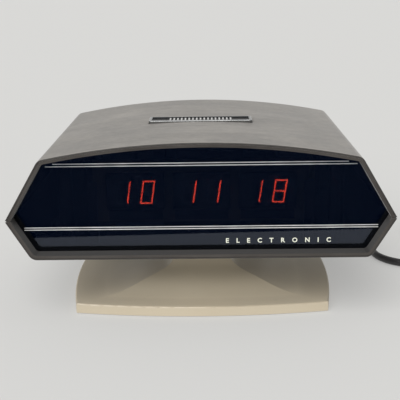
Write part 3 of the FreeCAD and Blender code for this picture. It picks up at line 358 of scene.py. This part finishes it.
def printed(name, text, cap_height, width, centre, reads_from_behind=False, bold=0.0):
    """A word in plain capitals as thin ink, with its letters spaced out to fill the width."""
    curve = bpy.data.curves.new(name, "FONT")
    curve.body = text
    curve.align_x = "CENTER"
    curve.extrude = INK_THICKNESS / 2
    curve.offset = bold
    curve.resolution_u = 3
    word = bpy.data.objects.new(name, curve)
    bpy.context.scene.collection.objects.link(word)
    widths = []
    for spacing in (1.0, 2.0):
        curve.space_character = spacing
        bpy.context.view_layer.update()
        widths.append(word.dimensions.x)
    size = cap_height / word.dimensions.y
    curve.space_character = max(0.8, 1.0 + (width / size - widths[0]) / (widths[1] - widths[0]))
    bpy.context.view_layer.update()
    mesh = bpy.data.meshes.new_from_object(word)
    bpy.data.objects.remove(word)
    corners = [vert.co for vert in mesh.vertices]
    middle = Vector([(min(c[axis] for c in corners) + max(c[axis] for c in corners)) / 2
                     for axis in range(3)])
    across = -1 if reads_from_behind else 1
    turn = Matrix(((across, 0, 0), (0, 0, -across), (0, 1, 0))).to_4x4()
    mesh.transform(Matrix.Translation(centre) @ turn @ Matrix.Diagonal((size, size, 1, 1))
                   @ Matrix.Translation(-middle))
    ink_piece = bpy.data.objects.new(name, mesh)
    bpy.context.scene.collection.objects.link(ink_piece)
    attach(ink_piece, "case")
    return ink_piece


window_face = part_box("front_window")[0].y
cream_ink = surface("cream_ink", (0.80, 0.82, 0.70), 0.55, patch=300.0)
window_word = printed("window_word", "ELECTRONIC", 0.0026, 0.0546,
                      (0.0403, window_face - INK_STANDS_OUT, 0.04515), bold=0.03)
window_word.data.materials.append(cream_ink)

# ------------------------------------------------------------------ rear panel and controls
# A flat plastic panel in the same dark brown, with speaker slots, vent slots, four push buttons and
# two slide switches. Plain words are printed by each control.
panel_plastic = surface("panel_plastic", (0.050, 0.046, 0.042), 0.5, spread=0.1, grain=1300.0, bump=0.3)
dress(panel_plastic, "rear_panel")
button_plastic = surface("button_plastic", (0.30, 0.29, 0.27), 0.38, patch=200.0)
dress(button_plastic, "fast_set_button", "slow_set_button", "alarm_set_button", "hold_button")
knob_plastic = surface("knob_plastic", (0.028, 0.028, 0.028), 0.42, patch=200.0)
dress(knob_plastic, "alarm_switch_knob", "format_switch_knob")
switch_plastic = surface("switch_plastic", (0.03, 0.03, 0.03), 0.45)
dress(switch_plastic, "push_switches", "slide_switches", "snooze_switch", "snooze_plunger")

panel_ink = surface("panel_ink", (0.66, 0.65, 0.58), 0.6, patch=400.0)
panel_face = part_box("rear_panel")[1].y + INK_STANDS_OUT
PANEL_CAP_HEIGHT = 0.0016
for node_name, word, width in (("fast_set_button", "FAST", 0.0062), ("slow_set_button", "SLOW", 0.0062),
                               ("alarm_set_button", "ALARM", 0.0076), ("hold_button", "HOLD", 0.0062)):
    low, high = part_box(node_name)
    label = printed(node_name + "_word", word, PANEL_CAP_HEIGHT, width,
                    ((low.x + high.x) / 2, panel_face, high.z + 0.0028), True)
    label.data.materials.append(panel_ink)
for node_name, word in (("alarm_switch_knob", "ALARM  OFF"), ("format_switch_knob", "12 HR  24 HR")):
    low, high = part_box(node_name)
    label = printed(node_name + "_word", word, PANEL_CAP_HEIGHT, 0.0165,
                    (low.x + 0.0042, panel_face, low.z - 0.0029), True)
    label.data.materials.append(panel_ink)

# ------------------------------------------------------------------ snooze bar
# A chromed bar through the roof, on two coil springs, with a ribbed insert let into its top. It
# works a small switch on a steel bridge under the roof. Its top is painted brighter at the ends and duller in
# the middle, a painted reflection, and its sides are painted dark, a painted dark reflection.
chrome, chrome_tree, chrome_shader = plain_shader("bar_chrome", Metallic=1.0)
chrome_coord = add_node(chrome_tree, "TexCoord")
chrome_place = chrome_coord.outputs["Object"]
smudge = ramp(chrome_tree, noise(chrome_tree, chrome_place, 160.0, 4.0, 0.6), 0.4, 0.7)
top_vs_painted_dark_sides = ramp(chrome_tree, axes_of(chrome_tree, chrome_coord.outputs["Normal"])["Z"], 0.2, 0.8)
bar_low, bar_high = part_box("snooze_bar")
bar_half = (bar_high.x - bar_low.x) / 2
bar_middle = (bar_low.x + bar_high.x) / 2
from_middle = calc(chrome_tree, "SUBTRACT", axes_of(chrome_tree, chrome_place)["X"], bar_middle)
from_middle = calc(chrome_tree, "ABSOLUTE", from_middle)
# The ends of the bar's top are painted bright and its middle dull: a painted reflection.
near_the_ends = ramp(chrome_tree, from_middle, bar_half - 0.0032, bar_half - 0.0018)
end_chrome_painted_bright = mixed(chrome_tree, smudge, (0.90, 0.90, 0.89, 1), (0.76, 0.76, 0.75, 1))
middle_chrome_painted_dull = mixed(chrome_tree, smudge, (0.40, 0.41, 0.42, 1), (0.60, 0.61, 0.62, 1))
top_chrome = mixed(chrome_tree, near_the_ends, middle_chrome_painted_dull, end_chrome_painted_bright)
# The bar's sides and front are painted dark grey: a painted dark reflection.
chrome_tree.links.new(mixed(chrome_tree, top_vs_painted_dark_sides, (0.24, 0.24, 0.235, 1), top_chrome),
                      chrome_shader.inputs["Base Color"])
chrome_tree.links.new(ramp(chrome_tree, smudge, 0, 1, 0.10, 0.24), chrome_shader.inputs["Roughness"])
dress(chrome, "snooze_bar")

insert_plastic, insert_tree, insert_shader = plain_shader("insert_plastic", Metallic=0.6)
insert_place = add_node(insert_tree, "TexCoord").outputs["Object"]
RIB_FOOT, RIB_TOP = 0.0989, 0.0991
# The rib tops are bright and everything below them near black: painted shade in the grooves.
rib_top_vs_painted_groove_shade = ramp(insert_tree, axes_of(insert_tree, insert_place)["Z"], RIB_FOOT, RIB_TOP)
brushed = noise(insert_tree, stretched(insert_tree, insert_place, scale=(3000.0, 120.0, 120.0)), 1.0, 2.0)
insert_tree.links.new(mixed(insert_tree, rib_top_vs_painted_groove_shade, (0.012, 0.012, 0.013, 1), (0.85, 0.85, 0.84, 1)),
                      insert_shader.inputs["Base Color"])
insert_tree.links.new(ramp(insert_tree, brushed, 0.3, 0.7, 0.28, 0.45), insert_shader.inputs["Roughness"])
bumped(insert_tree, insert_shader, brushed, 0.2, 0.00005)
dress(insert_plastic, "snooze_insert")

spring_steel = surface("spring_steel", (0.55, 0.54, 0.52), 0.3, Metallic=1.0)
spring_bm = bmesh.new()
spring_low, spring_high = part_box("snooze_springs")
SPRING_WIRE = 0.00034
SPRING_RADIUS = 0.0026
SPRING_TURNS = 5
STEPS_PER_TURN = 24
SPRING_FROM_END = 0.003
spring_y = (spring_low.y + spring_high.y) / 2
for spring_x in (spring_low.x + SPRING_FROM_END, spring_high.x - SPRING_FROM_END):
    wire = bmesh.ops.create_circle(
        spring_bm, segments=8, radius=SPRING_WIRE,
        matrix=Matrix.Translation((spring_x + SPRING_RADIUS, spring_y, spring_low.z + SPRING_WIRE))
        @ Matrix.Rotation(math.radians(90), 4, "X"))["verts"]
    wire_edges = list({edge for vert in wire for edge in vert.link_edges})
    steps = SPRING_TURNS * STEPS_PER_TURN
    climb = (spring_high.z - spring_low.z - 2 * SPRING_WIRE) / steps
    bmesh.ops.spin(spring_bm, geom=wire + wire_edges, cent=(spring_x, spring_y, 0), axis=(0, 0, 1),
                   dvec=(0, 0, climb), angle=2 * math.pi * SPRING_TURNS, steps=steps)
bmesh.ops.holes_fill(spring_bm, edges=[edge for edge in spring_bm.edges if edge.is_boundary])
bmesh.ops.recalc_face_normals(spring_bm, faces=spring_bm.faces)
for face in spring_bm.faces:
    face.smooth = True
spring_mesh = bpy.data.meshes.new("coil_springs")
spring_bm.to_mesh(spring_mesh)
spring_bm.free()
coil_springs = bpy.data.objects.new("coil_springs", spring_mesh)
bpy.context.scene.collection.objects.link(coil_springs)
spring_mesh.materials.append(spring_steel)
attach(coil_springs, "case")
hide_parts("snooze_springs")
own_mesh(coil_springs)
dress(spring_steel, "snooze_springs")
bracket_steel = surface("bracket_steel", (0.50, 0.50, 0.49), 0.4, Metallic=1.0, patch=120.0)
dress(bracket_steel, "snooze_bridge", "transformer_bracket", "speaker_clips")

# ------------------------------------------------------------------ display
# Three flat gas-discharge tubes of two digits each, plugged into sockets on an upright board. The
# lit segments glow orange-red through the smoked window; the others are dull metal on ceramic.
neon, neon_tree, neon_shader = plain_shader(
    "segment_lit", Base_Color=(0.5, 0.08, 0.03, 1), Roughness=0.5, Emission_Strength=6.0)
neon_place = add_node(neon_tree, "TexCoord").outputs["Object"]
neon_glow = ramp(neon_tree, noise(neon_tree, neon_place, 300.0), 0.3, 0.7)
neon_tree.links.new(mixed(neon_tree, neon_glow, (1.0, 0.055, 0.02, 1), (1.0, 0.075, 0.028, 1)),
                    neon_shader.inputs["Emission Color"])
dress(neon, "lit_segments")
dress(surface("segment_unlit", (0.16, 0.16, 0.16), 0.45, Metallic=0.7), "unlit_segments")
tube_glass, tube_tree, tube_shader = plain_shader(
    "tube_glass", Roughness=0.03, IOR=1.5, Transmission_Weight=1.0)
tube_place = add_node(tube_tree, "TexCoord").outputs["Object"]
tube_tint = mixed(tube_tree, noise(tube_tree, tube_place, 80.0), (0.93, 0.94, 0.93, 1), (0.97, 0.97, 0.97, 1))
tube_tree.links.new(tube_tint, tube_shader.inputs["Base Color"])
dress(tube_glass, "display_tube_hours", "display_tube_minutes", "display_tube_seconds")
dress(surface("tube_ceramic", (0.04, 0.04, 0.042), 0.6), "display_backs")
dress(surface("pin_metal", (0.62, 0.60, 0.55), 0.35, Metallic=1.0), "display_pins")
dress(surface("socket_plastic", (0.035, 0.035, 0.038), 0.5), "display_sockets")

# ------------------------------------------------------------------ boards and electronic parts
# Brown laminate boards with a 28-pin chip, driver transistors and small parts, joined to the
# display by a grey ribbon cable.
board_laminate = surface("board_laminate", (0.28, 0.19, 0.08), 0.45, spread=0.12, patch=90.0, grain=2200.0)
dress(board_laminate, "main_board", "display_board")
dress(surface("ribbon_vinyl", (0.36, 0.36, 0.37), 0.5), "ribbon_cable")
dress(surface("chip_plastic", (0.02, 0.02, 0.022), 0.4), "clock_chip", "driver_transistors", "diodes")
dress(surface("resistor_body", (0.42, 0.27, 0.13), 0.45), "resistors")
dress(surface("capacitor_can", (0.10, 0.16, 0.34), 0.35), "filter_capacitor")
dress(surface("disc_ceramic", (0.50, 0.24, 0.08), 0.5), "disc_capacitors")
dress(surface("lead_vinyl", (0.06, 0.06, 0.06), 0.45), "internal_leads")

# ------------------------------------------------------------------ transformer and speaker
# A small laminated mains transformer in a steel strap, and a round paper-cone speaker clipped
# behind the slots of the rear panel.
dress(surface("core_steel", (0.20, 0.19, 0.18), 0.45, Metallic=0.8, patch=400.0), "transformer_core",
      "speaker_basket", "speaker_magnet")
dress(surface("winding_tape", (0.55, 0.40, 0.08), 0.4), "transformer_winding")
dress(surface("cone_paper", (0.035, 0.033, 0.030), 0.9, spread=0.2, patch=300.0, bump=0.5), "speaker_cone")
screw_steel = surface("screw_steel", (0.45, 0.44, 0.42), 0.35, Metallic=1.0, patch=500.0)
dress(screw_steel, "case_screws", "inner_screws", "pedestal_screws", "plate_screws")

# ------------------------------------------------------------------ pedestal
# A flared foot moulded in cream plastic, with creases from the neck to its four corners and an upright
# lip round the edge, painted darker as painted shade. A steel plate closes it from below, on rubber pads.
cream, cream_tree, cream_shader = plain_shader("pedestal_plastic", IOR=1.5)
cream_place = add_node(cream_tree, "TexCoord").outputs["Object"]
LIP_HEIGHT = 0.0052
lip_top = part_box("pedestal")[0].z + LIP_HEIGHT
aged = ramp(cream_tree, noise(cream_tree, cream_place, 16.0, 4.0, 0.55), 0.35, 0.7)
grime = ramp(cream_tree, noise(cream_tree, cream_place, 240.0, 5.0, 0.65), 0.62, 0.78, 0.0, 0.18)
# The upright lip is painted darker than the face above it: painted shade.
lip_painted_shade = ramp(cream_tree, axes_of(cream_tree, cream_place)["Z"], lip_top, lip_top + 0.0005, 0.6, 0.0)
cream_tone = mixed(cream_tree, aged, (0.70, 0.62, 0.48, 1), (0.65, 0.57, 0.43, 1))
cream_tone = mixed(cream_tree, lip_painted_shade, cream_tone, (0.40, 0.345, 0.255, 1))
cream_tone = mixed(cream_tree, grime, cream_tone, (0.35, 0.29, 0.20, 1))
cream_tree.links.new(cream_tone, cream_shader.inputs["Base Color"])
cream_tree.links.new(ramp(cream_tree, aged, 0, 1, 0.34, 0.44), cream_shader.inputs["Roughness"])
bumped(cream_tree, cream_shader, noise(cream_tree, cream_place, 1400.0, 2.0), 0.1)
dress(cream, "pedestal")
dress(surface("plate_steel", (0.42, 0.41, 0.39), 0.45, Metallic=0.9), "pedestal_plate")
dress(surface("foot_rubber", (0.025, 0.025, 0.025), 0.8, bump=0.4), "feet")

# ------------------------------------------------------------------ mains cord
# One length of round vinyl mains cord. It leaves the tapered sleeve behind the case, drops to the
# table, comes round the right side in a loose curve, and its spare length is wound into a neat coil
# of two layers, with the plug lying on top.
CORD_DIAMETER = 0.0046
COIL_CENTRE = Vector((0.186, 0.0538, 0))
TURNS_OUT_TO_IN = (0.037, 0.0323, 0.0276, 0.0229, 0.0182)
LOWER_LAYER, UPPER_LAYER = 0.0026, 0.0072
POINTS_PER_TURN = 18
FULL_TURNS = 8
LAST_PART_TURN = 60
loose_run = [
    (0.062, 0.092, 0.0475), (0.062, 0.107, 0.0475), (0.0635, 0.126, 0.0395), (0.068, 0.142, 0.027),
    (0.075, 0.154, 0.015), (0.084, 0.163, 0.007), (0.0955, 0.1685, 0.0028), (0.108, 0.1675, 0.0026),
    (0.1185, 0.160, 0.0026), (0.124, 0.1485, 0.0026), (0.124, 0.135, 0.0026), (0.120, 0.120, 0.0026),
    (0.115, 0.1055, 0.0026), (0.1105, 0.091, 0.0026), (0.107, 0.0735, 0.0026), (0.1085, 0.060, 0.0026),
    (0.111, 0.047, 0.0026), (0.111, 0.034, 0.0026), (0.1172, 0.0226, 0.0026), (0.1282, 0.0158, 0.0026),
    (0.142, 0.0152, 0.0026), (0.155, 0.0156, 0.0026), (0.167, 0.0168, 0.0026), (0.177, 0.0168, 0.0026),
]
tail_run = [
    (0.2190, 0.0580, 0.0088), (0.2170, 0.0665, 0.0096), (0.2108, 0.0752, 0.0110),
    (0.2015, 0.0809, 0.0132), (0.1920, 0.0826, 0.0155), (0.1835, 0.0803, 0.0155),
]


def eased(value, start, end):
    """0 before start, 1 after end, and a smooth step between."""
    share = min(max((value - start) / (end - start), 0.0), 1.0)
    return share * share * (3 - 2 * share)


def coil_point(angle):
    """The cord's middle after winding through this many degrees from the coil's front.

    The lower layer winds inwards, its last turn climbs, and the upper layer winds outwards on it.
    """
    turn = int(angle // 360)
    within = angle - 360 * turn
    last = len(TURNS_OUT_TO_IN) - 1
    if turn <= last:
        here = TURNS_OUT_TO_IN[turn]
        inner = TURNS_OUT_TO_IN[min(turn + 1, last)]
        radius = here + (inner - here) * eased(within, 230, 360)
        climbed = eased(within, 160, 260) if turn == last else 0
        height = LOWER_LAYER + (UPPER_LAYER - LOWER_LAYER) * climbed
    else:
        step = turn - last - 1
        here = TURNS_OUT_TO_IN[last - step]
        outer = TURNS_OUT_TO_IN[max(last - step - 1, 0)]
        radius = here + (outer - here) * eased(within, 60, 200)
        height = UPPER_LAYER
    radius /= math.cos(math.pi / POINTS_PER_TURN)
    around = math.radians(angle)
    return COIL_CENTRE + Vector((radius * math.sin(around), -radius * math.cos(around), height))


coil_step = 360 / POINTS_PER_TURN
coil_steps = int((360 * FULL_TURNS + LAST_PART_TURN) / coil_step)
coil_run = [coil_point(step * coil_step) for step in range(coil_steps + 1)]
cord_points = loose_run + coil_run + tail_run

cord_curve = bpy.data.curves.new("mains_cord", "CURVE")
cord_curve.dimensions = "3D"
cord_curve.bevel_depth = CORD_DIAMETER / 2
cord_curve.bevel_resolution = 3
cord_curve.resolution_u = 4
cord_curve.use_fill_caps = True
cord_spline = cord_curve.splines.new("NURBS")
cord_spline.points.add(len(cord_points) - 1)
for control, place in zip(cord_spline.points, cord_points):
    control.co = (*place, 1)
cord_spline.order_u = 3
cord_spline.use_endpoint_u = True
mains_cord = bpy.data.objects.new("mains_cord", cord_curve)
bpy.context.scene.collection.objects.link(mains_cord)
cord_vinyl = surface("cord_vinyl", (0.022, 0.021, 0.022), 0.42, spread=0.15, patch=250.0, grain=1800.0)
cord_curve.materials.append(cord_vinyl)
dress(cord_vinyl, "cord", "cord_coil", "cord_tail", "strain_relief")
dress(surface("plug_vinyl", (0.02, 0.02, 0.021), 0.5, grain=1400.0, bump=0.3), "plug_body")
dress(surface("blade_brass", (0.62, 0.52, 0.30), 0.3, Metallic=1.0, patch=300.0), "plug_blades")
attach(mains_cord, "case")
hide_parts("cord", "cord_coil", "cord_tail")
